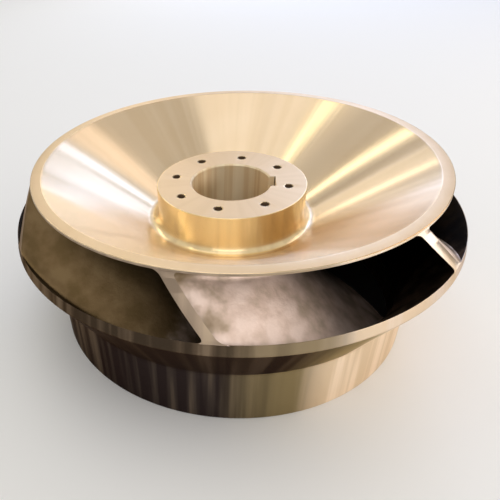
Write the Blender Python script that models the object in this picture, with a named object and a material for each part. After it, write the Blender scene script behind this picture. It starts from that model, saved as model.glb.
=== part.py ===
"""Closed mixed-flow pump impeller in cast bronze, standing on its suction neck.

Metres, +Z up. The origin is at the bottom centre, on the shaft's axis. Azimuths are measured
from +X towards +Y, so the side that faces the viewer is at -90 degrees.
"""

import math

import bmesh
import bpy
from mathutils import Matrix, Vector

# Outside sizes
RIM_RADIUS = 0.2110
RIM_TOP_Z = 0.1830
RIM_EDGE = 0.0065
RIM_LAND = 0.0110
OUTLET_RADIUS = 0.2345
OUTLET_Z = 0.1325
OUTLET_EDGE = 0.0110
OUTLET_EDGE_FLARE = 0.0020
NECK_RADIUS = 0.2000
NECK_HEIGHT = 0.0625
NECK_WALL = 0.0120
NECK_CHAMFER = 0.0015

# Hub boss, bore and fastening face
BOSS_RADIUS = 0.0805
BOSS_TOP_Z = 0.1530
BOSS_SIDE_HEIGHT = 0.0280
BOSS_FILLET = 0.0105
BOSS_CHAMFER = 0.0010
BORE_RADIUS = 0.0425
BORE_CHAMFER = 0.0015
KEYWAY_WIDTH = 0.0220
KEYWAY_DEPTH = 0.0054
NOSE_RADIUS = 0.0600
NOSE_Z = 0.0450
HOLE_COUNT = 8
HOLE_RADIUS = 0.00425
HOLE_DEPTH = 0.0220
HOLE_CIRCLE_RADIUS = 0.0615
HOLE_AZIMUTH = math.radians(124)

# Flow lines in the (radius, height) plane, as the handles of cubic Bezier curves
HUB_LINE = ((RIM_RADIUS, RIM_TOP_Z - RIM_EDGE), (0.136, 0.128), (0.064, 0.100), (NOSE_RADIUS, NOSE_Z))
EYE_RADIUS = NECK_RADIUS - NECK_WALL
SHROUD_LINE = ((OUTLET_RADIUS, OUTLET_Z), (0.2170, 0.1050), (EYE_RADIUS, 0.0780), (EYE_RADIUS, NOSE_Z))

# Vanes
VANE_COUNT = 6
VANE_HUB_AZIMUTH = math.radians(-103.5)
VANE_SHROUD_AZIMUTH = math.radians(-92.5)
VANE_HUB_WRAP = math.radians(92)
VANE_SHROUD_WRAP = math.radians(58)
VANE_HUB_END = 0.84
VANE_SHROUD_END = 0.92
VANE_HALF_WIDTH_OUTLET = 0.0059
VANE_HALF_WIDTH_MIDDLE = 0.0066
VANE_HALF_WIDTH_INLET = 0.0030
VANE_STEPS_ALONG = 18
VANE_STEPS_ACROSS = 5

# Gaps between the solids, the reach of a cutter past what it cuts, and the fineness of the shapes
SEAM_GAP = 0.0003
VANE_GAP = 0.0004
CUTTER_REACH = 0.0020
TURN_STEPS = 96
BOSS_STEPS = 64
HOLE_STEPS = 16
FILLET_STEPS = 4
LINE_STEPS = 8
NECK_LINE_STEPS = 3
TANGENT_STEP = 1e-4
HALVINGS = 40


def clear_scene():
    """Removes what the file opened with."""
    for item in list(bpy.data.objects):
        bpy.data.objects.remove(item, do_unlink=True)


def make_material(name, colour, roughness):
    """A bare metal with one colour."""
    material = bpy.data.materials.new(name)
    material.use_nodes = True
    shader = material.node_tree.nodes["Principled BSDF"]
    shader.inputs["Base Color"].default_value = (*colour, 1.0)
    shader.inputs["Roughness"].default_value = roughness
    shader.inputs["Metallic"].default_value = 1.0
    return material


def add_object(name, bm, material):
    """Turns a finished bmesh into a named object, smooth between its sharp edges."""
    bmesh.ops.recalc_face_normals(bm, faces=bm.faces)
    mesh = bpy.data.meshes.new(name)
    bm.to_mesh(mesh)
    bm.free()
    mesh.materials.append(material)
    mesh.shade_smooth()
    mesh.set_sharp_from_angle(angle=math.radians(30))
    item = bpy.data.objects.new(name, mesh)
    bpy.context.collection.objects.link(item)
    return item


def bezier(handles, t):
    """The point of a cubic Bezier curve in the (radius, height) plane."""
    a, b, c, d = (Vector(handle) for handle in handles)
    s = 1.0 - t
    return a * s ** 3 + b * 3 * s * s * t + c * 3 * s * t * t + d * t ** 3


def bezier_normal(handles, t):
    """The unit normal on the left of the curve, seen along it."""
    along = bezier(handles, t + TANGENT_STEP) - bezier(handles, t - TANGENT_STEP)
    return Vector((-along.y, along.x)).normalized()


def line_where(handles, axis, value):
    """The curve's parameter where its radius (axis 0) or height (axis 1) falls to a value, by halving."""
    low, high = 0.0, 1.0
    for _ in range(HALVINGS):
        middle = (low + high) / 2
        if bezier(handles, middle)[axis] > value:
            low = middle
        else:
            high = middle
    return (low + high) / 2


def line_points(handles, start, end, steps):
    """Evenly spaced points of a curve from one parameter to another."""
    return [tuple(bezier(handles, start + (end - start) * k / steps)) for k in range(steps + 1)]


def turned_body(name, outline, steps, material):
    """Spins a closed (radius, height) outline once round the axis."""
    bm = bmesh.new()
    verts = [bm.verts.new((radius, 0.0, height)) for radius, height in outline]
    edges = [bm.edges.new((verts[k], verts[(k + 1) % len(verts)])) for k in range(len(verts))]
    bmesh.ops.spin(bm, geom=verts + edges, cent=(0, 0, 0), axis=(0, 0, 1), dvec=(0, 0, 0),
                   angle=math.tau, steps=steps, use_merge=True, use_duplicate=False)
    return add_object(name, bm, material)


def make_cutter(name, bm):
    """A helper solid that only cuts others."""
    bmesh.ops.recalc_face_normals(bm, faces=bm.faces)
    mesh = bpy.data.meshes.new(name)
    bm.to_mesh(mesh)
    bm.free()
    cutter = bpy.data.objects.new(name, mesh)
    bpy.context.collection.objects.link(cutter)
    cutter.hide_render = True
    cutter.display_type = "WIRE"
    return cutter


def cut_away(item, cutter):
    """Takes a cutter's volume out of an object."""
    modifier = item.modifiers.new(cutter.name, "BOOLEAN")
    modifier.operation = "DIFFERENCE"
    modifier.solver = "EXACT"
    modifier.object = cutter


def dish_height(radius):
    """The height of the dish's upper face, a cone from the boss fillet to the rim land."""
    inner, low = BOSS_RADIUS + BOSS_FILLET, BOSS_TOP_Z - BOSS_SIDE_HEIGHT - BOSS_FILLET
    outer, high = RIM_RADIUS - RIM_LAND, RIM_TOP_Z
    return low + (high - low) * (radius - inner) / (outer - inner)


def boss_outline():
    """The boss from its bore to the seam with the dish, with the nose below."""
    seam_radius = BOSS_RADIUS + BOSS_FILLET
    foot = dish_height(seam_radius)
    fillet = []
    for k in range(FILLET_STEPS + 1):
        angle = math.pi / 2 * k / FILLET_STEPS
        fillet.append((seam_radius - BOSS_FILLET * math.cos(angle),
                       foot + BOSS_FILLET - BOSS_FILLET * math.sin(angle)))
    seam = line_where(HUB_LINE, 0, seam_radius)
    return ([(BORE_RADIUS + BORE_CHAMFER, NOSE_Z), (BORE_RADIUS, NOSE_Z + BORE_CHAMFER),
             (BORE_RADIUS, BOSS_TOP_Z - BORE_CHAMFER), (BORE_RADIUS + BORE_CHAMFER, BOSS_TOP_Z),
             (BOSS_RADIUS - BOSS_CHAMFER, BOSS_TOP_Z), (BOSS_RADIUS, BOSS_TOP_Z - BOSS_CHAMFER)]
            + fillet + line_points(HUB_LINE, seam, 1.0, LINE_STEPS))


def hole_cutter():
    """The tapped holes of the boss face, at their drilled size."""
    bm = bmesh.new()
    for k in range(HOLE_COUNT):
        azimuth = HOLE_AZIMUTH - math.tau * k / HOLE_COUNT
        centre = Vector((HOLE_CIRCLE_RADIUS * math.cos(azimuth), HOLE_CIRCLE_RADIUS * math.sin(azimuth),
                         BOSS_TOP_Z + (CUTTER_REACH - HOLE_DEPTH) / 2))
        bmesh.ops.create_cone(bm, cap_ends=True, segments=HOLE_STEPS, radius1=HOLE_RADIUS,
                              radius2=HOLE_RADIUS, depth=HOLE_DEPTH + CUTTER_REACH,
                              matrix=Matrix.Translation(centre))
    return make_cutter("tapped_hole_cutter", bm)


def keyway_cutter():
    """A straight slot along the whole bore, on its +X side."""
    bm = bmesh.new()
    reach = BORE_RADIUS + KEYWAY_DEPTH
    length = BOSS_TOP_Z - NOSE_Z + 2 * CUTTER_REACH
    centre = Vector((reach / 2, 0, (BOSS_TOP_Z + NOSE_Z) / 2))
    size = Matrix.Diagonal((reach, KEYWAY_WIDTH, length, 1.0))
    bmesh.ops.create_cube(bm, size=1.0, matrix=Matrix.Translation(centre) @ size)
    return make_cutter("keyway_cutter", bm)


def make_hub_boss(material):
    """The central boss with its bore, keyway and eight tapped holes."""
    boss = turned_body("hub_boss", boss_outline(), BOSS_STEPS, material)
    cut_away(boss, keyway_cutter())
    cut_away(boss, hole_cutter())
    return boss


def make_hub_shroud(material):
    """The dished back plate from the boss seam to the outlet rim."""
    inner = BOSS_RADIUS + BOSS_FILLET + SEAM_GAP
    seam = line_where(HUB_LINE, 0, inner)
    outline = [(inner, dish_height(inner)), (RIM_RADIUS - RIM_LAND, RIM_TOP_Z), (RIM_RADIUS, RIM_TOP_Z)]
    outline += line_points(HUB_LINE, 0.0, seam, LINE_STEPS)
    return turned_body("hub_shroud", outline, TURN_STEPS, material)


def make_front_shroud(material):
    """The conical cover from the outlet ring down to the neck."""
    bottom = NECK_HEIGHT + SEAM_GAP
    seam = line_where(SHROUD_LINE, 1, bottom)
    outline = line_points(SHROUD_LINE, 0.0, seam, LINE_STEPS)
    outline += [(NECK_RADIUS, bottom), (OUTLET_RADIUS + OUTLET_EDGE_FLARE, OUTLET_Z - OUTLET_EDGE)]
    return turned_body("front_shroud", outline, TURN_STEPS, material)


def make_suction_neck(material):
    """The cylindrical wear land round the suction eye."""
    seam = line_where(SHROUD_LINE, 1, NECK_HEIGHT)
    outline = line_points(SHROUD_LINE, seam, 1.0, NECK_LINE_STEPS)
    outline += [(EYE_RADIUS, NECK_CHAMFER), (EYE_RADIUS + NECK_CHAMFER, 0.0),
                (NECK_RADIUS - NECK_CHAMFER, 0.0), (NECK_RADIUS, NECK_CHAMFER), (NECK_RADIUS, NECK_HEIGHT)]
    return turned_body("suction_neck", outline, TURN_STEPS, material)


def vane_half_width(u):
    """Half the vane's width along the circle, from the outlet (0) to the inlet (1)."""
    if u < 0.5:
        return VANE_HALF_WIDTH_OUTLET + (VANE_HALF_WIDTH_MIDDLE - VANE_HALF_WIDTH_OUTLET) * u / 0.5
    return VANE_HALF_WIDTH_MIDDLE + (VANE_HALF_WIDTH_INLET - VANE_HALF_WIDTH_MIDDLE) * (u - 0.5) / 0.5


def vane_point(u, v, side):
    """A point of a vane's face: u outlet to inlet, v hub to shroud, side -1 or +1."""
    on_hub = bezier(HUB_LINE, u * VANE_HUB_END) + bezier_normal(HUB_LINE, u * VANE_HUB_END) * VANE_GAP
    on_shroud = (bezier(SHROUD_LINE, u * VANE_SHROUD_END)
                 - bezier_normal(SHROUD_LINE, u * VANE_SHROUD_END) * VANE_GAP)
    place = on_hub.lerp(on_shroud, v)
    hub_azimuth = VANE_HUB_AZIMUTH + VANE_HUB_WRAP * u
    shroud_azimuth = VANE_SHROUD_AZIMUTH + VANE_SHROUD_WRAP * u
    azimuth = hub_azimuth + (shroud_azimuth - hub_azimuth) * v + side * vane_half_width(u) / place.x
    return Vector((place.x * math.cos(azimuth), place.x * math.sin(azimuth), place.y))


def make_vane(number, material):
    """One twisted vane: a grid laid on one face, extruded round to the other."""
    bm = bmesh.new()
    bmesh.ops.create_grid(bm, x_segments=VANE_STEPS_ALONG, y_segments=VANE_STEPS_ACROSS, size=0.5)
    places = {vert: (vert.co.x + 0.5, vert.co.y + 0.5) for vert in bm.verts}
    grown = bmesh.ops.extrude_face_region(bm, geom=list(bm.faces))
    far = [item for item in grown["geom"] if isinstance(item, bmesh.types.BMVert)]
    for vert in far:
        vert.co = vane_point(vert.co.x + 0.5, vert.co.y + 0.5, 1.0)
    for vert, (u, v) in places.items():
        vert.co = vane_point(u, v, -1.0)
    turn = Matrix.Rotation(math.tau * number / VANE_COUNT, 4, "Z")
    bmesh.ops.transform(bm, matrix=turn, verts=bm.verts)
    return add_object(f"vane_{number + 1}", bm, material)


def main():
    """Builds the impeller from the hub outwards."""
    clear_scene()
    turned = make_material("turned_bronze", (0.78, 0.60, 0.36), 0.25)
    cast = make_material("cast_bronze", (0.30, 0.24, 0.18), 0.6)
    make_hub_boss(turned)
    make_hub_shroud(turned)
    for number in range(VANE_COUNT):
        make_vane(number, cast)
    make_front_shroud(turned)
    make_suction_neck(turned)


main()
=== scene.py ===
"""The looks of a closed mixed-flow pump impeller: one bronze casting, turned outside, rough in its passages.

Metres, +Z up. Azimuths are measured from +X towards +Y, so the side that faces the camera is at -90 degrees.
"""

import logging
import math
from dataclasses import dataclass, field
from enum import Enum

import bmesh
import bpy
from mathutils import Euler, Matrix, Vector
from mathutils.geometry import interpolate_bezier

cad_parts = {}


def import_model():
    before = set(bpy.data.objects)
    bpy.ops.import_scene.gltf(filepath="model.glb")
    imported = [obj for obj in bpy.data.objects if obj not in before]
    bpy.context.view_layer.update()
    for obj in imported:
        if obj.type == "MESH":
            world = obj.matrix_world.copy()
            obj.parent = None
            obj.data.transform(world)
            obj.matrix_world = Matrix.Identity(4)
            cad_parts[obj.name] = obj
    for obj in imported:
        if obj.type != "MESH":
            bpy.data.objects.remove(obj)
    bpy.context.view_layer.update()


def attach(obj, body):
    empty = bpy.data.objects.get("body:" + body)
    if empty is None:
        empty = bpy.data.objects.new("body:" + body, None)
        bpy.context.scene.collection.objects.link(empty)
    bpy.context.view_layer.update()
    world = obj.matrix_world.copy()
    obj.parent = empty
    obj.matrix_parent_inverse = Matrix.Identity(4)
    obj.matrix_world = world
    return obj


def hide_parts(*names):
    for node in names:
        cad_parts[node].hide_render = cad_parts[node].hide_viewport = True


LOG = logging.getLogger("impeller")
MM = 0.001
AXIS = (0.0, 0.0, 1.0)
CENTRE = (0.0, 0.0, 0.0)
HAIR = 0.1 * MM  # what counts as off a line or a flat
NEAR = 1.0 * MM  # what counts as beside it
TIGHT = 1e-6  # corners nearer than this, in metres, are one
SHARP = 24.0  # an edge that bends by more degrees stays sharp
VANE_SHARP = 40.0

Place = tuple[float, float]
Point = tuple[float, float, float]
Colour = tuple[float, float, float, float]
Mesh = bmesh.types.BMesh
Tree = bpy.types.NodeTree
Socket = bpy.types.NodeSocket


class Surface(Enum):
    """How a face of the casting was finished."""

    TURNED = "turned"  # the dish
    FACED = "faced"  # the boss face and the flat land at the rim
    GOLDEN = "golden"  # the boss side and the fillet at its foot
    NECK_AND_EYE = "neck_and_eye"  # the suction neck and its eye
    RING = "ring"  # the outlet ring
    SHELTERED = "sheltered"  # the cone under the ring
    EDGE = "edge"  # the rim's edge and the outlet edges of the vanes
    CAST = "cast"  # the vanes
    PASSAGE = "passage"  # the sides of the two plates that the water runs along
    BORED = "bored"  # the bore and its keyway
    TAPPED = "tapped"  # the tapped holes


Finishes = dict[Surface, bpy.types.Material]


# Shapes


@dataclass(frozen=True)
class Corner:
    """A corner of a turned outline, with the length that its rounding takes from each side."""

    radius: float
    height: float
    blend: float = 0.0
    steps: int = 3


@dataclass(frozen=True)
class FlowLine:
    """A cubic Bezier line in the (radius, height) plane that a flow surface is turned on."""

    handles: tuple[Place, Place, Place, Place]

    def point(self, t: float) -> Vector:
        """Finds a point of the line.

        Args:
            t: The parameter, 0 at the outlet and 1 at the inlet.

        Returns:
            The point's radius and height.
        """
        a, b, c, d = (Vector(handle) for handle in self.handles)
        s = 1.0 - t
        return a * s**3 + b * 3 * s * s * t + c * 3 * s * t * t + d * t**3

    def normal(self, t: float) -> Vector:
        """Finds the unit normal on the left of the line, seen along it.

        Args:
            t: The parameter.

        Returns:
            The normal in the (radius, height) plane.
        """
        step = 1e-4
        along = self.point(t + step) - self.point(t - step)
        return Vector((-along.y, along.x)).normalized()

    def corners(self, count: int) -> list[Corner]:
        """Lays evenly spaced plain corners along the whole line, from the outlet to the inlet."""
        knots = [Vector((x, z, 0.0)) for x, z in self.handles]
        places = interpolate_bezier(knots[0], knots[1], knots[2], knots[3], count)
        return [Corner(place.x, place.y) for place in places]


def straight(start: Place, end: Place, steps: int, guard: float = 0.0008) -> list[Corner]:
    """Lays plain corners inside a straight run, so that its shading stays flat next to roundings.

    Args:
        start: Radius and height where the run starts.
        end: Radius and height where it ends.
        steps: How many even parts it gets.
        guard: How far from each end an extra corner lies, in metres.

    Returns:
        The corners between the ends, which aren't among them.
    """
    a, b = Vector(start), Vector(end)
    length = (b - a).length
    shares = [guard / length] + [k / steps for k in range(1, steps)] + [1.0 - guard / length]
    return [Corner(*a.lerp(b, share)) for share in shares]


def spin(bm: Mesh, outline: list[bmesh.types.BMVert | bmesh.types.BMEdge], centre: Point, steps: int) -> None:
    """Spins an outline once round an upright line.

    Args:
        bm: The mesh.
        outline: Its vertices and edges.
        centre: A point of the line.
        steps: How many steps the turn takes.
    """
    bmesh.ops.spin(bm, geom=outline, cent=centre, axis=AXIS, dvec=(0, 0, 0), angle=math.tau, steps=steps,
                   use_merge=True, use_duplicate=False)


def close_up(bm: Mesh) -> None:
    """Merges doubled corners and turns the faces outwards."""
    bmesh.ops.remove_doubles(bm, verts=bm.verts, dist=TIGHT)
    bmesh.ops.recalc_face_normals(bm, faces=bm.faces)


def turn(outline: list[Corner], steps: int) -> Mesh:
    """Rounds the corners of a closed outline and spins it once round the shaft's axis.

    Args:
        outline: The corners in order.
        steps: How many steps the turn takes.

    Returns:
        The closed turned body.
    """
    bm = bmesh.new()
    verts = [bm.verts.new((corner.radius, 0.0, corner.height)) for corner in outline]
    bm.faces.new(verts)
    for vert, corner in zip(verts, outline):
        if corner.blend > 0.0:
            bmesh.ops.bevel(bm, geom=[vert], offset=corner.blend, offset_type="OFFSET",
                            segments=corner.steps, profile=0.5, affect="VERTICES", material=-1)
    bmesh.ops.delete(bm, geom=list(bm.faces), context="FACES_ONLY")
    spin(bm, list(bm.verts) + list(bm.edges), CENTRE, steps)
    close_up(bm)
    return bm


def finished(name: str, bm: Mesh, sharp: float = SHARP) -> bpy.types.Object:
    """Turns a bmesh into a named object, smooth between its sharp edges.

    Args:
        name: The piece's name.
        bm: The mesh, which is freed.
        sharp: The angle in degrees past which an edge stays sharp.

    Returns:
        The new object, at the origin.
    """
    mesh = bpy.data.meshes.new(name)
    bm.to_mesh(mesh)
    bm.free()
    mesh.shade_smooth()
    mesh.set_sharp_from_angle(angle=math.radians(sharp))
    piece = bpy.data.objects.new(name, mesh)
    bpy.context.scene.collection.objects.link(piece)
    return piece


def cut(piece: bpy.types.Object, cutter: bpy.types.Object) -> None:
    """Takes a cutter's volume out of a piece for good, and removes the cutter.

    Args:
        piece: The object that keeps the cut.
        cutter: The closed object that cuts.
    """
    boolean = piece.modifiers.new(cutter.name, "BOOLEAN")
    boolean.operation = "DIFFERENCE"
    boolean.solver = "EXACT"
    boolean.object = cutter
    graph = bpy.context.evaluated_depsgraph_get()
    mesh = bpy.data.meshes.new_from_object(piece.evaluated_get(graph))
    piece.modifiers.clear()
    old, piece.data = piece.data, mesh
    mesh.name = piece.name
    bpy.data.meshes.remove(old)
    bpy.data.objects.remove(cutter, do_unlink=True)
    mesh.shade_smooth()
    mesh.set_sharp_from_angle(angle=math.radians(SHARP))


def dress(piece: bpy.types.Object, surfaces: tuple[Surface, ...], finishes: Finishes) -> None:
    """Gives a piece one material slot for each way its faces are finished.

    Args:
        piece: The object.
        surfaces: The ways that its faces are finished, in the order of its slots.
        finishes: The material of each surface.
    """
    for surface in surfaces:
        piece.data.materials.append(finishes[surface])


def report(piece: bpy.types.Object) -> None:
    """Logs a piece's size and face count."""
    size = [round(value / MM, 1) for value in piece.dimensions]
    LOG.info("%s: %s mm, %d faces", piece.name, size, len(piece.data.polygons))


# The casting


EYE_TOP = 0.0450  # where the passages end, and the hub's nose and the bored suction eye begin
HUB_LINE = FlowLine(((0.2110, 0.1803), (0.1360, 0.1280), (0.0640, 0.1000), (0.0600, EYE_TOP)))
SHROUD_LINE = FlowLine(((0.2345, 0.1325), (0.2170, 0.1050), (0.1880, 0.0780), (0.1880, EYE_TOP)))


@dataclass
class HubCasting:
    """The boss with its bore, keyway and tapped holes, and the dished back plate round it, in one piece."""

    rim_radius: float = 0.2110
    rim_top: float = 0.1830
    rim_land: float = 0.0110
    boss_radius: float = 0.0805
    boss_top: float = 0.1530
    boss_side: float = 0.0280
    boss_fillet: float = 0.0105
    fillet_share: float = 0.80  # the bevel takes this share of the fillet from each side
    # A break is the length that an edge's rounding takes, and a guard keeps the next corner that far off.
    boss_break: float = 0.0009
    dish_break: float = 0.0015
    land_break: float = 0.0004
    rim_break: float = 0.0007
    boss_guard: float = 0.0016
    dish_guard: float = 0.0030
    bore_radius: float = 0.0425
    chamfer: float = 0.0015
    nose_height: float = EYE_TOP
    keyway_width: float = 0.0220
    keyway_depth: float = 0.0054
    keyway_fillet: float = 0.0008
    keyway_overshoot: float = 1.2  # the cutter's length, as a share of the bore's
    hole_count: int = 8
    hole_circle: float = 0.0615
    hole_azimuth: float = math.radians(124)
    tap_radius: float = 0.00425
    thread_radius: float = 0.0050
    thread_pitch: float = 0.0015
    thread_turns: int = 11
    thread_sink: float = 0.0002
    tap_depth: float = 0.0220
    drill_point: float = 0.6  # the drilled end's depth, as a share of its radius
    cutter_rise: float = 0.0020
    hole_steps: int = 32
    steps: int = 288
    flow_parts: int = 28
    under_depth: float = 0.0040  # how far under the foot of the dish the flow side starts
    under_cosine: float = 0.2  # further out, a face that looks up less than this is on the flow side
    flat_cosine: float = 0.999  # a face that looks up more than this is level
    surfaces: tuple[Surface, ...] = (Surface.TURNED, Surface.FACED, Surface.GOLDEN, Surface.EDGE,
                                     Surface.PASSAGE, Surface.BORED, Surface.TAPPED)

    def dish_start(self) -> Place:
        """Finds where the boss fillet runs out on the dish."""
        return self.boss_radius + self.boss_fillet, self.boss_top - self.boss_side - self.boss_fillet

    def outline(self) -> list[Corner]:
        """Draws the corners of the casting's section, from the lower end of the bore round to the nose."""
        bore, boss, top, nose = self.bore_radius, self.boss_radius, self.boss_top, self.nose_height
        foot_radius, foot = self.dish_start()
        land = (self.rim_radius - self.rim_land, self.rim_top)
        corners = [Corner(bore + self.chamfer, nose), Corner(bore, nose + self.chamfer)]
        corners += straight((bore, nose + self.chamfer), (bore, top - self.chamfer), steps=6)
        corners += [Corner(bore, top - self.chamfer), Corner(bore + self.chamfer, top)]
        corners += straight((bore + self.chamfer, top), (boss, top), steps=1, guard=self.boss_guard)
        corners += [Corner(boss, top, self.boss_break)]
        corners += straight((boss, top), (boss, foot + self.boss_fillet), steps=3, guard=self.boss_guard)
        corners += [Corner(boss, foot, self.boss_fillet * self.fillet_share, steps=10)]
        corners += [Corner(foot_radius, foot, self.dish_break)]
        corners += straight((foot_radius, foot), land, steps=8, guard=self.dish_guard)
        corners += [Corner(*land, self.land_break, steps=2)]
        corners += [Corner(self.rim_radius, self.rim_top, self.rim_break)]
        corners += HUB_LINE.corners(self.flow_parts)
        return corners

    def hole_section(self) -> list[Place]:
        """Draws half the section of a tapped hole: countersink, thread, drilled end.

        Returns:
            The radius of each corner, and its height over the boss face.
        """
        sink, pitch = self.thread_sink, self.thread_pitch
        mouth = self.thread_radius + sink
        places = [(0.0, self.cutter_rise), (mouth, self.cutter_rise), (mouth, 0.0)]
        for number in range(self.thread_turns):
            depth = -sink - number * pitch
            places += [(self.tap_radius, depth), (self.thread_radius, depth - pitch / 2)]
        places += [(self.tap_radius, -sink - self.thread_turns * pitch), (self.tap_radius, -self.tap_depth),
                   (0.0, -self.tap_depth - self.tap_radius * self.drill_point)]
        return places

    def tapped_holes(self) -> bpy.types.Object:
        """Makes the closed cutter of the tapped holes."""
        bm = bmesh.new()
        for number in range(self.hole_count):
            azimuth = self.hole_azimuth - math.tau * number / self.hole_count
            x, y = self.hole_circle * math.cos(azimuth), self.hole_circle * math.sin(azimuth)
            verts = [bm.verts.new((x + radius, y, self.boss_top + height))
                     for radius, height in self.hole_section()]
            edges = [bm.edges.new(pair) for pair in zip(verts, verts[1:])]
            spin(bm, verts + edges, (x, y, 0.0), self.hole_steps)
        close_up(bm)
        return finished("tapped_hole_cutter", bm)

    def keyway(self) -> bpy.types.Object:
        """Makes the closed cutter of the keyway, a slot with eased corners along the whole bore."""
        bm = bmesh.new()
        reach = self.bore_radius + self.keyway_depth
        length = (self.boss_top - self.nose_height) * self.keyway_overshoot
        middle = (self.boss_top + self.nose_height) / 2
        bmesh.ops.create_cube(bm, size=1.0, matrix=Matrix.Translation((reach / 2, 0.0, middle))
                              @ Matrix.Diagonal((reach, self.keyway_width, length, 1.0)))
        corners = [edge for edge in bm.edges if all(vert.co.x > reach - HAIR for vert in edge.verts)
                   and abs(edge.verts[0].co.z - edge.verts[1].co.z) > length / 2]
        bmesh.ops.bevel(bm, geom=corners, offset=self.keyway_fillet, offset_type="OFFSET", segments=3,
                        profile=0.5, affect="EDGES", material=-1)
        bmesh.ops.recalc_face_normals(bm, faces=bm.faces)
        return finished("keyway_cutter", bm)

    def surface_at(self, centre: Vector, normal: Vector) -> Surface:
        """Tells how a face of the casting was finished.

        Args:
            centre: The face's centre.
            normal: The face's normal.

        Returns:
            Its surface.
        """
        radius, height = centre.xy.length, centre.z
        foot_radius, foot = self.dish_start()
        below_top = height < self.boss_top - HAIR
        in_hole = abs(radius - self.hole_circle) < self.thread_radius + NEAR and height > foot
        in_bore = radius < self.bore_radius + self.keyway_depth + 3 * HAIR
        outermost = radius > self.rim_radius - self.rim_break - HAIR
        on_edge = outermost and height < self.rim_top - self.rim_break + HAIR
        on_boss_face = normal.z > self.flat_cosine and radius < self.boss_radius
        on_land = normal.z > self.flat_cosine and radius > self.rim_radius - self.rim_land - NEAR
        below_plate = normal.z < self.under_cosine
        if radius < foot_radius:
            below_plate = height < foot - self.under_depth
        if in_hole and below_top:
            return Surface.TAPPED
        if in_bore and below_top:
            return Surface.BORED
        if on_edge:
            return Surface.EDGE
        if on_boss_face or on_land:
            return Surface.FACED
        if radius < foot_radius - NEAR and height > foot + 2 * HAIR:
            return Surface.GOLDEN
        if below_plate and height > self.nose_height + HAIR:
            return Surface.PASSAGE
        return Surface.TURNED

    def mark_surfaces(self, piece: bpy.types.Object) -> None:
        """Gives each face the slot of its surface."""
        for face in piece.data.polygons:
            surface = self.surface_at(Vector(face.center), Vector(face.normal))
            face.material_index = self.surfaces.index(surface)

    def build(self, finishes: Finishes) -> bpy.types.Object:
        """Turns the casting, cuts its keyway and holes and dresses it.

        Args:
            finishes: The material of each surface.

        Returns:
            The piece, which stands for the CAD's boss and back plate.
        """
        piece = finished("hub_casting", turn(self.outline(), self.steps))
        dress(piece, self.surfaces, finishes)
        cut(piece, self.keyway())
        cut(piece, self.tapped_holes())
        self.mark_surfaces(piece)
        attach(piece, "root")
        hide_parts("hub_boss", "hub_shroud")
        return piece


@dataclass
class ShroudCasting:
    """The conical front shroud with its turned outlet ring, and the suction neck below it, in one piece."""

    outlet_radius: float = 0.2345
    outlet_height: float = 0.1325
    ring_face: float = 0.0110
    ring_flare: float = 0.0020
    lip_break: float = 0.0007
    ring_break: float = 0.0008
    ring_guard: float = 0.0015
    cone_guard: float = 0.0050
    neck_radius: float = 0.2000
    neck_height: float = 0.0625
    neck_fillet: float = 0.0030
    eye_radius: float = 0.1880
    chamfer: float = 0.0015
    eye_bored_height: float = 0.0300
    steps: int = 288
    flow_parts: int = 20
    surfaces: tuple[Surface, ...] = (Surface.NECK_AND_EYE, Surface.RING, Surface.SHELTERED, Surface.PASSAGE)

    def outline(self) -> list[Corner]:
        """Draws the corners of the casting's section, from the ring down the outside and up the flow side."""
        lip = (self.outlet_radius, self.outlet_height)
        ring = (self.outlet_radius + self.ring_flare, self.outlet_height - self.ring_face)
        neck_top, neck_foot = (self.neck_radius, self.neck_height), (self.neck_radius, self.chamfer)
        eye_foot, eye_top = (self.eye_radius, self.chamfer), (self.eye_radius, EYE_TOP)
        corners = [Corner(*lip, self.lip_break)]
        corners += straight(lip, ring, steps=2, guard=self.ring_guard)
        corners += [Corner(*ring, self.ring_break)]
        corners += straight(ring, neck_top, steps=5, guard=self.cone_guard)
        corners += [Corner(*neck_top, self.neck_fillet, steps=6)]
        corners += straight(neck_top, neck_foot, steps=4, guard=self.cone_guard)
        corners += [Corner(*neck_foot), Corner(self.neck_radius - self.chamfer, 0.0)]
        corners += [Corner(self.eye_radius + self.chamfer, 0.0), Corner(*eye_foot)]
        corners += straight(eye_foot, eye_top, steps=3)
        corners += list(reversed(SHROUD_LINE.corners(self.flow_parts)))[:-1]
        return corners

    def mark_surfaces(self, piece: bpy.types.Object) -> None:
        """Gives each face the slot of its surface: the flow side is cast down to where the eye is bored."""
        for face in piece.data.polygons:
            centre = Vector(face.center)
            inward = face.normal.x * centre.x + face.normal.y * centre.y < 0.0
            surface = Surface.NECK_AND_EYE
            if inward and self.eye_bored_height < centre.z < self.outlet_height - self.lip_break - HAIR:
                surface = Surface.PASSAGE
            elif centre.z > self.outlet_height - self.ring_face - 6 * HAIR:
                surface = Surface.RING
            elif centre.z > self.neck_height + NEAR:
                surface = Surface.SHELTERED
            face.material_index = self.surfaces.index(surface)

    def build(self, finishes: Finishes) -> bpy.types.Object:
        """Turns the casting and dresses it.

        Args:
            finishes: The material of each surface.

        Returns:
            The piece, which stands for the CAD's front shroud and neck.
        """
        piece = finished("shroud_casting", turn(self.outline(), self.steps))
        dress(piece, self.surfaces, finishes)
        self.mark_surfaces(piece)
        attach(piece, "root")
        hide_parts("front_shroud", "suction_neck")
        return piece


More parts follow.
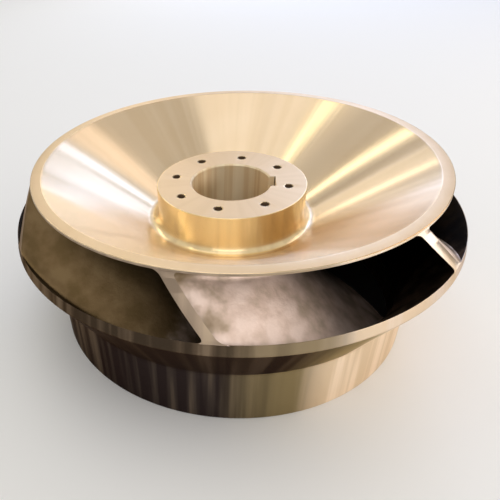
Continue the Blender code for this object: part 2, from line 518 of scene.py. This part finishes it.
@dataclass
class Vane:
    """One of the twisted vanes, with fillets where it grows out of the two plates."""

    number: int
    count: int = 6
    hub_azimuth: float = math.radians(-103.5)
    shroud_azimuth: float = math.radians(-92.5)
    hub_wrap: float = math.radians(92)
    shroud_wrap: float = math.radians(58)
    hub_end: float = 0.84
    shroud_end: float = 0.92
    outlet_half: float = 0.0059
    middle_half: float = 0.0066
    inlet_half: float = 0.0030
    nose_share: float = 0.025
    nose_least: float = 0.12  # the share of its width that the inlet edge closes to
    root: float = 0.0006
    fillet: float = 0.0050
    crowding: float = 0.115  # how far the rows move towards the plates, as a share of the span
    steps_along: int = 72
    steps_across: int = 36
    surfaces: tuple[Surface, ...] = (Surface.CAST, Surface.EDGE)

    def half_width(self, u: float) -> float:
        """Gives half the vane's width along the circle, closing to a round inlet edge.

        Args:
            u: The place along the vane, 0 at the outlet and 1 at the inlet.

        Returns:
            Half the width in metres.
        """
        if u < 0.5:
            width = self.outlet_half + (self.middle_half - self.outlet_half) * u / 0.5
        else:
            width = self.middle_half + (self.inlet_half - self.middle_half) * (u - 0.5) / 0.5
        near_nose = min(1.0, max(0.0, u - (1.0 - self.nose_share)) / self.nose_share)
        return width * max(self.nose_least, math.sqrt(1.0 - near_nose * near_nose))

    def flare(self, depth: float) -> float:
        """Gives how much a fillet widens the vane at a distance from a plate.

        Args:
            depth: The distance from the plate in metres.

        Returns:
            The extra half width in metres.
        """
        short = max(0.0, self.fillet - max(0.0, depth))
        return self.fillet - math.sqrt(self.fillet**2 - short**2)

    def point(self, u: float, v: float, side: float) -> Vector:
        """Places a point of a vane's face.

        Args:
            u: The place along the vane, 0 at the outlet and 1 at the inlet.
            v: The place across it, 0 at the hub and 1 at the shroud.
            side: -1 or +1 for the two faces.

        Returns:
            The point in metres.
        """
        hub_u, shroud_u = u * self.hub_end, u * self.shroud_end
        on_hub = HUB_LINE.point(hub_u) - HUB_LINE.normal(hub_u) * self.root
        on_shroud = SHROUD_LINE.point(shroud_u) + SHROUD_LINE.normal(shroud_u) * self.root
        place = on_hub.lerp(on_shroud, v)
        span = (on_shroud - on_hub).length
        hub_azimuth = self.hub_azimuth + self.hub_wrap * u
        shroud_azimuth = self.shroud_azimuth + self.shroud_wrap * u
        fillets = self.flare(v * span - self.root) + self.flare((1.0 - v) * span - self.root)
        half = self.half_width(u) + fillets
        azimuth = hub_azimuth + (shroud_azimuth - hub_azimuth) * v + side * half / place.x
        return Vector((place.x * math.cos(azimuth), place.x * math.sin(azimuth), place.y))

    def grid_place(self, corner: Vector) -> Place:
        """Finds a grid corner's place along and across the vane, with rows crowded towards both plates."""
        share = corner.y + 0.5
        return corner.x + 0.5, share - self.crowding * math.sin(math.tau * share)

    def build(self, finishes: Finishes) -> bpy.types.Object:
        """Lays a grid on one face and extrudes it through to the other.

        Args:
            finishes: The material of each surface.

        Returns:
            The piece, which stands for the CAD's vane of the same number.
        """
        bm = bmesh.new()
        bmesh.ops.create_grid(bm, x_segments=self.steps_along, y_segments=self.steps_across, size=0.5)
        places = {vert: self.grid_place(vert.co) for vert in bm.verts}
        grown = bmesh.ops.extrude_face_region(bm, geom=list(bm.faces))
        for item in grown["geom"]:
            if isinstance(item, bmesh.types.BMVert):
                item.co = self.point(*self.grid_place(item.co), 1.0)
        for vert, (u, v) in places.items():
            vert.co = self.point(u, v, -1.0)
        for face in bm.faces:
            at_outlet = all(self.on_outlet(vert.co) for vert in face.verts)
            face.material_index = self.surfaces.index(Surface.EDGE if at_outlet else Surface.CAST)
        turned = Matrix.Rotation(math.tau * self.number / self.count, 4, "Z")
        bmesh.ops.transform(bm, matrix=turned, verts=bm.verts)
        bmesh.ops.recalc_face_normals(bm, faces=bm.faces)
        piece = finished(f"vane_{self.number + 1}_cast", bm, VANE_SHARP)
        dress(piece, self.surfaces, finishes)
        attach(piece, "root")
        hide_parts(f"vane_{self.number + 1}")
        return piece

    def on_outlet(self, place: Vector) -> bool:
        """Tells whether a point lies on the cone between the two outlet edges."""
        hub, shroud = self.point(0.0, 0.0, 0.0), self.point(0.0, 1.0, 0.0)
        share = (place.z - hub.z) / (shroud.z - hub.z)
        radius = hub.xy.length + (shroud.xy.length - hub.xy.length) * share
        return abs(place.xy.length - radius) < HAIR / 10


# Finishes


def linear(code: str) -> Colour:
    """Turns an sRGB hex colour into a linear one.

    Args:
        code: Six hex digits.

    Returns:
        Linear red, green, blue and an alpha of 1.
    """
    parts = [int(code[k:k + 2], 16) / 255 for k in (0, 2, 4)]
    red, green, blue = (p / 12.92 if p <= 0.04045 else ((p + 0.055) / 1.055) ** 2.4 for p in parts)
    return red, green, blue, 1.0


def add_node(tree: Tree, kind: str, settings: dict | None = None, inputs: dict | None = None,
             stops: list[tuple[float, str]] | None = None) -> bpy.types.Node:
    """Adds a node with its settings, values and links.

    Args:
        tree: The node tree.
        kind: The node's type.
        settings: Properties of the node.
        inputs: Values or sockets for its inputs, by name or index.
        stops: Places and hex colours of its colour ramp, if it has one.

    Returns:
        The node.
    """
    node = tree.nodes.new(kind)
    for name, value in (settings or {}).items():
        setattr(node, name, value)
    for key, value in (inputs or {}).items():
        if isinstance(value, Socket):
            tree.links.new(value, node.inputs[key])
        else:
            node.inputs[key].default_value = value
    if stops:
        elements = node.color_ramp.elements
        while len(elements) < len(stops):
            elements.new(0.5)
        for element, (place, code) in zip(elements, stops):
            element.position = place
            element.color = linear(code)
    return node


def new_material(name: str) -> tuple[bpy.types.Material, Tree, bpy.types.Node, Socket]:
    """Makes a node material whose patterns can be laid on the object.

    Args:
        name: The material's name.

    Returns:
        The material, its tree, its Principled shader and the place on the object.
    """
    material = bpy.data.materials.new(name)
    material.use_nodes = True
    tree = material.node_tree
    place = add_node(tree, "ShaderNodeTexCoord").outputs["Object"]
    return material, tree, tree.nodes["Principled BSDF"], place


def math_of(tree: Tree, operation: str, *values: float | Socket) -> Socket:
    """Adds a math node.

    Args:
        tree: The node tree.
        operation: What it does.
        values: Its inputs in order.

    Returns:
        Its result.
    """
    return add_node(tree, "ShaderNodeMath", {"operation": operation}, dict(enumerate(values))).outputs[0]


def vector_of(tree: Tree, operation: str, *values: Point | Socket) -> Socket:
    """Adds a vector math node.

    Args:
        tree: The node tree.
        operation: What it does.
        values: Its inputs in order.

    Returns:
        Its result, a number for a length or a dot product.
    """
    node = add_node(tree, "ShaderNodeVectorMath", {"operation": operation}, dict(enumerate(values)))
    return node.outputs["Value" if operation in ("LENGTH", "DOT_PRODUCT") else "Vector"]


def noise_of(tree: Tree, place: Socket, scale: float, detail: float = 3.0,
             roughness: float = 0.5) -> Socket:
    """Adds a noise pattern.

    Args:
        tree: The node tree.
        place: Where it is read.
        scale: How many swells it has in one unit.
        detail: How many finer octaves it has.
        roughness: How strong the finer octaves are.

    Returns:
        The pattern, from 0 to 1.
    """
    return add_node(tree, "ShaderNodeTexNoise", inputs={"Vector": place, "Scale": scale, "Detail": detail,
                                                        "Roughness": roughness}).outputs["Fac"]


def fade(tree: Tree, value: Socket, start: float, end: float, low: float, high: float) -> Socket:
    """Fades softly from one number to another.

    Args:
        tree: The node tree.
        value: What is read.
        start: Where the fade starts.
        end: Where it ends.
        low: The result at its start.
        high: The result at its end.

    Returns:
        The faded number.
    """
    return add_node(tree, "ShaderNodeMapRange", {"interpolation_type": "SMOOTHSTEP"},
                    {0: value, 1: start, 2: end, 3: low, 4: high}).outputs[0]


def mixed(tree: Tree, share: Socket, first: Socket | Colour, second: Socket | Colour,
          blend: str = "MIX") -> Socket:
    """Mixes two colours.

    Args:
        tree: The node tree.
        share: How much of the second colour there is.
        first: The first colour.
        second: The second colour.
        blend: How they are mixed.

    Returns:
        The mixed colour.
    """
    return add_node(tree, "ShaderNodeMix", {"data_type": "RGBA", "blend_type": blend},
                    {0: share, 6: first, 7: second}).outputs[2]


def bumped(tree: Tree, height: Socket, depth: float, normal: Socket | None = None) -> Socket:
    """Bends the normal by a height pattern.

    Args:
        tree: The node tree.
        height: The pattern.
        depth: How deep it is, in metres.
        normal: The normal to bend, if it isn't the surface's own.

    Returns:
        The bent normal.
    """
    inputs = {"Strength": 1.0, "Distance": depth, "Height": height}
    if normal is not None:
        inputs["Normal"] = normal
    return add_node(tree, "ShaderNodeBump", inputs=inputs).outputs[0]


def towards(tree: Tree, around: Socket, azimuth: float, pattern: Socket, ragged: float) -> Socket:
    """Measures how near a place lies to one side of the impeller, with a ragged edge.

    Args:
        tree: The node tree.
        around: The unit direction from the axis.
        azimuth: The azimuth of the side.
        pattern: What makes the edge ragged.
        ragged: How much.

    Returns:
        The cosine of the angle to that side, moved by the centred pattern.
    """
    side = (math.cos(azimuth), math.sin(azimuth), 0.0)
    facing = vector_of(tree, "DOT_PRODUCT", around, side)
    return math_of(tree, "MULTIPLY_ADD", math_of(tree, "SUBTRACT", pattern, 0.5), ragged, facing)


@dataclass(frozen=True)
class TurnedBronze:
    """Bronze turned on a lathe: rings too fine to see draw every light out into a fan across them."""

    name: str = "gunmetal_fine_turned"
    bright: str = "EED8B8"
    warm: str = "E6CCA8"
    roughness: float = 0.25
    anisotropy: float = 1.0
    ring_pitch: float = 2.4 * MM  # the real feed of 0.25 mm is too fine for the render
    ring_depth: float = 0.02 * MM
    ring_octaves: float = 2.0
    chatter_lines: float = 16.0  # in a radian, so a wave is 13 mm long at the rim
    chatter_strength: float = 0.6
    chatter_depth: float = 0.05 * MM
    cloud: float = 60 * MM
    streak_lines: float = 9.0  # in a radian, so a streak is 22 mm wide on the neck
    streak_lean: float = 0.2
    streak_start: float = 0.42
    streak_full: float = 0.62
    streak_dark: str = "D8BC94"
    streak_share: float = 0.3
    edge_tint: str = "FFFFFF"

    def material(self) -> bpy.types.Material:
        """Builds and returns the material."""
        material, tree, shader, place = new_material(self.name)
        height = add_node(tree, "ShaderNodeSeparateXYZ", inputs={0: place}).outputs[2]
        flat = vector_of(tree, "MULTIPLY", place, (1, 1, 0))
        around = vector_of(tree, "NORMALIZE", flat)
        cloud = noise_of(tree, place, 1.0 / self.cloud)
        clean = mixed(tree, cloud, linear(self.bright), linear(self.warm))
        rise = vector_of(tree, "MULTIPLY", place, (0, 0, self.streak_lean))
        streak = noise_of(tree, vector_of(tree, "ADD", around, rise), self.streak_lines)
        tree.links.new(self.overlaid(tree, clean, streak, around), shader.inputs["Base Color"])
        tree.links.new(self.tooled(tree, flat, around, height), shader.inputs["Normal"])
        tree.links.new(vector_of(tree, "CROSS_PRODUCT", AXIS, around), shader.inputs["Tangent"])
        shader.inputs["Metallic"].default_value = 1.0
        shader.inputs["Roughness"].default_value = self.roughness
        shader.inputs["Anisotropic"].default_value = self.anisotropy
        # A quarter turn lays the gloss across the rings.
        shader.inputs["Anisotropic Rotation"].default_value = 0.25
        shader.inputs["Specular Tint"].default_value = linear(self.edge_tint)
        return material

    def overlaid(self, tree: Tree, clean: Socket, streak: Socket, around: Socket) -> Socket:
        """Draws darker streaks over the clean metal.

        Args:
            tree: The node tree.
            clean: The clean metal's colour.
            streak: A pattern drawn out along the axis.
            around: The unit direction from the axis; not used here.

        Returns:
            The stained colour.
        """
        share = fade(tree, streak, self.streak_start, self.streak_full, 0.0, self.streak_share)
        return mixed(tree, share, clean, linear(self.streak_dark))

    def tooled(self, tree: Tree, flat: Socket, around: Socket, height: Socket) -> Socket:
        """Roughens the surface with the tool's rings and its faint chatter.

        Args:
            tree: The node tree.
            flat: The place without its height.
            around: The unit direction from the axis.
            height: The height above the floor.

        Returns:
            The normal.
        """
        path = math_of(tree, "ADD", vector_of(tree, "LENGTH", flat), height)
        rings = add_node(tree, "ShaderNodeTexNoise", {"noise_dimensions": "1D"},
                         {"W": path, "Scale": 1.0 / self.ring_pitch,
                          "Detail": self.ring_octaves}).outputs["Fac"]
        chatter = noise_of(tree, around, self.chatter_lines, roughness=self.chatter_strength)
        return bumped(tree, rings, self.ring_depth, bumped(tree, chatter, self.chatter_depth))


@dataclass(frozen=True)
class SmudgedBronze(TurnedBronze):
    """Finely turned bronze with a brown smudge of oil on one side, where it was held."""

    name: str = "gunmetal_fine_turned_smudged"
    smudge: str = "E2D0B4"
    smudge_azimuth: float = math.radians(-40)
    smudge_start: float = 0.88
    smudge_full: float = 0.99
    mottle: float = 0.05

    def overlaid(self, tree: Tree, clean: Socket, streak: Socket, around: Socket) -> Socket:
        """Lays the smudge over the streaked metal.

        Args:
            tree: The node tree.
            clean: The clean metal's colour.
            streak: A pattern drawn out along the axis.
            around: The unit direction from the axis.

        Returns:
            The stained colour.
        """
        metal = super().overlaid(tree, clean, streak, around)
        edge = towards(tree, around, self.smudge_azimuth, streak, self.mottle)
        share = fade(tree, edge, self.smudge_start, self.smudge_full, 0.0, 1.0)
        return mixed(tree, share, metal, linear(self.smudge), "MULTIPLY")


@dataclass(frozen=True)
class TarnishedShadedBronze(TurnedBronze):
    """Turned bronze that has stood about: brown-black tarnish and painted shade all round but for the lit
    side, which is left clean.
    """

    name: str = "gunmetal_turned_tarnished_shaded"
    bright: str = "FFECD4"
    warm: str = "FBE2C4"
    roughness: float = 0.33
    streak_lines: float = 14.0
    streak_dark: str = "D8C09C"
    streak_share: float = 0.6
    edge_tint: str = "B4A89E"
    # tarnish and painted shade: the colours away from the lit side
    tarnish_and_shade: str = "504640"
    tarnish_and_shade_dark: str = "382F2E"
    tarnish_and_shade_thin: str = "746557"
    tarnish_and_shade_olive: str = "A08E68"
    film_and_shade_places: tuple[float, ...] = (0.43, 0.53, 0.62)  # where the film is dark, middling and thin
    lit_clean_azimuth: float = math.radians(-22)
    lit_clean_cosine: float = 0.76
    bloom_and_shade: float = 0.12
    film_and_shade: float = 0.45
    ragged: float = 0.20

    def overlaid(self, tree: Tree, clean: Socket, streak: Socket, around: Socket) -> Socket:
        """Lays tarnish and painted shade over the streaked metal: an olive bloom first, then the brown-black
        film, both away from the lit side.

        Args:
            tree: The node tree.
            clean: The clean metal's colour.
            streak: A pattern drawn out along the axis.
            around: The unit direction from the axis.

        Returns:
            The tarnished and shaded colour.
        """
        metal = super().overlaid(tree, clean, streak, around)
        # painted shade: the tarnish darkens away from the lit side
        edge = towards(tree, around, self.lit_clean_azimuth, streak, self.ragged)
        bloom_and_shade = fade(tree, edge, self.lit_clean_cosine - self.bloom_and_shade, self.lit_clean_cosine, 1.0, 0.0)
        olive = mixed(tree, bloom_and_shade, metal, linear(self.tarnish_and_shade_olive))
        colours = (self.tarnish_and_shade_dark, self.tarnish_and_shade, self.tarnish_and_shade_thin)
        film_and_shade = add_node(tree, "ShaderNodeValToRGB", inputs={0: streak},
                        stops=list(zip(self.film_and_shade_places, colours))).outputs[0]
        share = fade(tree, edge, self.lit_clean_cosine - self.film_and_shade, self.lit_clean_cosine - self.bloom_and_shade, 1.0, 0.0)
        return mixed(tree, share, olive, film_and_shade)


@dataclass(frozen=True)
class CastBronze:
    """Bronze as it leaves the sand: dull, grainy and blotched from pink-grey to olive brown, the olive partly
    painted shade, with painted shade deep in the passages.
    """

    name: str = "gunmetal_sand_cast"
    light: str = "F4E0D4"
    middle: str = "E6D0C2"
    dark: str = "CFBBA8"
    blotch_places: tuple[float, ...] = (0.36, 0.5, 0.62)  # where the swells are dark, middling and light
    # oil and painted shade: the olive film on all but the lit side
    oil_and_shade: str = "948868"
    # painted shade: the colour deep in the passages
    deep: str = "2C221C"
    lit_clean_azimuth: float = math.radians(-62)
    lit_clean_cosine: float = 0.90
    oil_and_shade_cosine: float = 0.66
    ragged: float = 0.40
    deep_radius: float = 0.115
    open_radius: float = 0.168
    roughness: float = 0.55
    grain: float = 3.0 * MM  # the sand's grain of 0.3 mm is too fine for the render
    grain_octaves: float = 4.0
    grain_strength: float = 0.6
    grain_depth: float = 0.22 * MM
    swell: float = 22 * MM
    swell_depth: float = 0.35 * MM

    def material(self) -> bpy.types.Material:
        """Builds and returns the material."""
        material, tree, shader, place = new_material(self.name)
        grain = noise_of(tree, place, 1.0 / self.grain, self.grain_octaves, self.grain_strength)
        swell = noise_of(tree, place, 1.0 / self.swell)
        colours = (self.dark, self.middle, self.light)
        metal = add_node(tree, "ShaderNodeValToRGB", inputs={0: swell},
                         stops=list(zip(self.blotch_places, colours))).outputs[0]
        rough = bumped(tree, grain, self.grain_depth, bumped(tree, swell, self.swell_depth))
        tree.links.new(self.soiled_and_shaded(tree, metal, swell, place), shader.inputs["Base Color"])
        tree.links.new(rough, shader.inputs["Normal"])
        shader.inputs["Metallic"].default_value = 1.0
        shader.inputs["Roughness"].default_value = self.roughness
        return material

    def soiled_and_shaded(self, tree: Tree, metal: Socket, swell: Socket, place: Socket) -> Socket:
        """Lays an oily film with painted shade over all but the lit side, and painted shade deep in the
        passages.

        Args:
            tree: The node tree.
            metal: The bare casting's colour.
            swell: The pattern of the casting's swells.
            place: The place on the object.

        Returns:
            The colour with its film and painted shade.
        """
        flat = vector_of(tree, "MULTIPLY", place, (1, 1, 0))
        edge = towards(tree, vector_of(tree, "NORMALIZE", flat), self.lit_clean_azimuth, swell, self.ragged)
        # oil and painted shade: the olive film fades in away from the lit side
        oil_and_shade_share = fade(tree, edge, self.oil_and_shade_cosine, self.lit_clean_cosine, 1.0, 0.0)
        film_and_shade = mixed(tree, oil_and_shade_share, metal, linear(self.oil_and_shade), "MULTIPLY")
        # painted shade: darker towards the axis, black deep in the passages
        depth = fade(tree, vector_of(tree, "LENGTH", flat), self.deep_radius, self.open_radius, 1.0, 0.0)
        return mixed(tree, depth, film_and_shade, linear(self.deep))


@dataclass(frozen=True)
class PaintedFloor:
    """A smooth pale painted floor, with no gloss to speak of, and painted shade where the suction eye stands
    over it.
    """

    name: str = "floor_painted_matt"
    colour: str = "F4F4F3"
    # painted shade: the floor's colour under the suction eye
    under: str = "1C1B1A"
    under_radius: float = 0.190
    soft: float = 0.006
    roughness: float = 0.9

    def material(self) -> bpy.types.Material:
        """Builds and returns the material."""
        material, tree, shader, place = new_material(self.name)
        radius = vector_of(tree, "LENGTH", place)
        # painted shade: dark inside the eye's radius, pale outside it
        share = fade(tree, radius, self.under_radius, self.under_radius + self.soft, 1.0, 0.0)
        paint = mixed(tree, share, linear(self.colour), linear(self.under))
        tree.links.new(paint, shader.inputs["Base Color"])
        shader.inputs["Roughness"].default_value = self.roughness
        return material


# Studio


@dataclass(frozen=True)
class SoftLight:
    """A rectangular light between two points, turned to face the impeller."""

    name: str
    start: Point
    end: Point
    width: float
    radiance: float
    colour: str = "FFFFFF"
    target: Point = (0.0, 0.0, 0.15)

    def add(self) -> None:
        """Adds the light to the scene."""
        start, end = Vector(self.start), Vector(self.end)
        middle = (start + end) / 2
        length = (end - start).length
        data = bpy.data.lights.new(self.name, "AREA")
        data.shape = "RECTANGLE"
        data.size, data.size_y = self.width, length
        data.energy = self.radiance * math.pi * self.width * length
        data.color = linear(self.colour)[:3]
        up = (end - start).normalized()
        side = up.cross(middle - Vector(self.target)).normalized()
        light = bpy.data.objects.new(self.name, data)
        light.rotation_euler = Matrix((side, up, side.cross(up))).transposed().to_euler()
        light.location = middle
        light.visible_camera = False
        bpy.context.scene.collection.objects.link(light)


@dataclass
class Studio:
    """The camera, the floor and the lights."""

    camera_place: Point = (0.0, -0.52467, 0.41227)
    camera_turn: Point = (51.320, 3.853, 7.206)  # degrees
    lens: float = 37.473
    sensor: float = 36.0
    shift: tuple[float, float] = (0.1912, 0.0959)
    nearest: float = 0.01
    floor_size: float = 12.0
    sky_top: float = 0.68
    sky_foot: float = 0.40
    sky_fade: tuple[float, float] = (0.15, 0.70)  # between these heights on a sphere of radius 1
    sky_colour: str = "FFFCF8"
    # On the dish the window lights make the white fan at the left, the slits the two narrow ones at the
    # right and the ceiling the broad one at the back.
    lights: list[SoftLight] = field(default_factory=lambda: [
        SoftLight("window_top", (0.47, 2.38, 1.91), (1.52, 2.15, 1.46), 0.30, 3.3, "B4CCFF"),
        SoftLight("window_middle", (0.43, 2.62, 1.48), (1.04, 2.64, 0.94), 0.78, 3.4, "B4CCFF"),
        SoftLight("window_side", (0.15, 2.83, 0.97), (0.37, 2.90, 0.44), 0.65, 2.8, "B4CCFF"),
        SoftLight("over_window", (0.57, 2.11, 2.23), (1.79, 1.51, 1.94), 0.60, 0.9, "FFF0EC"),
        SoftLight("wall_low", (-0.46, 2.75, 1.01), (-0.28, 2.90, 0.11), 0.66, 0.8, "FFF8F0"),
        SoftLight("slit_low", (-0.25, 2.68, 1.42), (-0.90, 2.73, 0.75), 0.16, 2.8, "FFF8EC"),
        SoftLight("slit_high", (-0.54, 2.22, 2.11), (-1.71, 1.79, 1.75), 0.20, 3.2, "FFFCE8"),
        SoftLight("wall_left", (-0.35, 2.56, 1.62), (-1.18, 2.52, 1.06), 0.50, 0.85, "FFFCF6"),
        SoftLight("tube", (-0.49, 1.50, 2.75), (-1.50, 0.01, 2.70), 0.18, 2.1, "FFFCE0"),
        SoftLight("ceiling", (-0.39, 1.25, 2.15), (0.06, -0.75, 2.15), 0.95, 0.58, "FCFCFF"),
        SoftLight("ceiling_left", (-0.37, 1.34, 2.87), (-1.11, -0.41, 2.86), 0.40, 0.20),
        SoftLight("front_box", (-0.75, -1.60, 1.75), (0.75, -1.60, 1.75), 0.70, 1.35),
        SoftLight("side_right", (1.74, -0.18, 0.10), (1.74, -0.18, 0.84), 2.30, 2.8, "FFF6EE"),
    ])

    def add_camera(self) -> None:
        """Adds the camera at the photograph's place and makes it the scene's."""
        data = bpy.data.cameras.new("camera")
        data.lens = self.lens
        data.sensor_width = self.sensor
        data.shift_x, data.shift_y = self.shift
        data.clip_start = self.nearest
        camera = bpy.data.objects.new("camera", data)
        camera.location = self.camera_place
        camera.rotation_euler = Euler([math.radians(angle) for angle in self.camera_turn], "XYZ")
        bpy.context.scene.collection.objects.link(camera)
        bpy.context.scene.camera = camera

    def add_floor(self) -> None:
        """Lays the floor."""
        bm = bmesh.new()
        bmesh.ops.create_grid(bm, x_segments=4, y_segments=4, size=self.floor_size / 2)
        floor = finished("floor", bm)
        floor.data.materials.append(PaintedFloor().material())

    def add_sky(self) -> None:
        """Gives the room its even grey light."""
        world = bpy.data.worlds.new("room")
        world.use_nodes = True
        tree = world.node_tree
        background = tree.nodes["Background"]
        direction = add_node(tree, "ShaderNodeTexCoord").outputs["Generated"]
        height = add_node(tree, "ShaderNodeSeparateXYZ", inputs={0: direction}).outputs[2]
        strength = fade(tree, height, *self.sky_fade, self.sky_foot, self.sky_top)
        tree.links.new(strength, background.inputs["Strength"])
        background.inputs["Color"].default_value = linear(self.sky_colour)
        bpy.context.scene.world = world
        bpy.context.scene.view_settings.view_transform = "Standard"

    def build(self) -> None:
        """Sets up the camera, floor, sky and lights."""
        self.add_camera()
        self.add_floor()
        self.add_sky()
        for light in self.lights:
            light.add()


def casting_finishes() -> Finishes:
    """Makes the casting's materials, all of them gunmetal, a bronze, worked in different ways.

    Returns:
        The material of each surface.
    """
    finishes = {
        # Turned very fine: a cream gold on which every light is a fan, a little browner where it was held.
        Surface.TURNED: SmudgedBronze(),
        # Faced with a broad tool: a matt cream on which no light has a shape.
        Surface.FACED: TurnedBronze(name="gunmetal_faced", bright="ECD2B0", warm="E2C8A4", roughness=0.48,
                                    anisotropy=0.2, streak_share=0.2),
        # Turned deep into clean metal: the yellowest gold of all, with upright bands.
        Surface.GOLDEN: TurnedBronze(name="gunmetal_turned_bright", bright="FFE9BC", warm="F8DCA6",
                                     roughness=0.24, anisotropy=0.8),
        # Turned and tarnished since, with painted shade: brown-black, then olive, then clean gold on the lit
        # side.
        Surface.NECK_AND_EYE: TarnishedShadedBronze(),
        # The same on the ring, with thinner tarnish and painted shade: greyer and paler.
        Surface.RING: TarnishedShadedBronze(name="gunmetal_turned_dulled_shaded", bright="E6D8CC", warm="E0CEBC",
                                    tarnish_and_shade="6A5A4A", tarnish_and_shade_dark="4C4034", tarnish_and_shade_thin="8A7864",
                                    tarnish_and_shade_olive="B09C7C"),
        # The same under the ring, with tarnish and more painted shade: nearly black, with a sharp change to
        # gold on the lit side.
        Surface.SHELTERED: TarnishedShadedBronze(name="gunmetal_turned_painted_shade", tarnish_and_shade="483C34",
                                         tarnish_and_shade_dark="3A302C", tarnish_and_shade_thin="584A40", lit_clean_cosine=0.84,
                                         bloom_and_shade=0.04, film_and_shade=0.26),
        # Narrow edges rubbed by all that passes: pale, with a thin tan film and light painted shade away from
        # the lit side.
        Surface.EDGE: TarnishedShadedBronze(name="gunmetal_turned_edge", bright="FFF6EA", warm="FFEEDC",
                                    tarnish_and_shade="BCA690", tarnish_and_shade_dark="AC9884", tarnish_and_shade_thin="C8B298",
                                    tarnish_and_shade_olive="D0B898"),
        # As it left the sand: dull pink-grey blotches towards the lit front, an olive film and painted shade
        # elsewhere, and painted shade that turns it black inside.
        Surface.CAST: CastBronze(),
        # The same on the plates, darkened as painted shade: brown and darker.
        Surface.PASSAGE: CastBronze(name="gunmetal_cast_shaded", light="7A6656", middle="5E4E42",
                                    dark="46392F"),
        # Bored: pale, with soft upright streaks that lights don't sharpen.
        Surface.BORED: TurnedBronze(name="gunmetal_bored", bright="FFF4DC", warm="FFE8C0", roughness=0.56,
                                    anisotropy=0.7, streak_dark="DCB880", streak_share=0.5,
                                    streak_lines=5.0),
        # Tapped and left oily, with painted shade in the holes: brown all through, and dull enough that the
        # threads stay dark.
        Surface.TAPPED: CastBronze(name="gunmetal_tapped_dark", light="A88C6C", middle="8C7258",
                                   dark="6E5844", deep="6E5844"),
    }
    return {surface: finish.material() for surface, finish in finishes.items()}


def main() -> None:
    """Builds the impeller and its studio."""
    logging.basicConfig(level=logging.INFO, format="%(message)s")
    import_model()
    Studio().build()
    finishes = casting_finishes()
    report(HubCasting().build(finishes))
    report(ShroudCasting().build(finishes))
    for number in range(Vane.count):
        report(Vane(number).build(finishes))


if __name__ == "__main__":
    main()
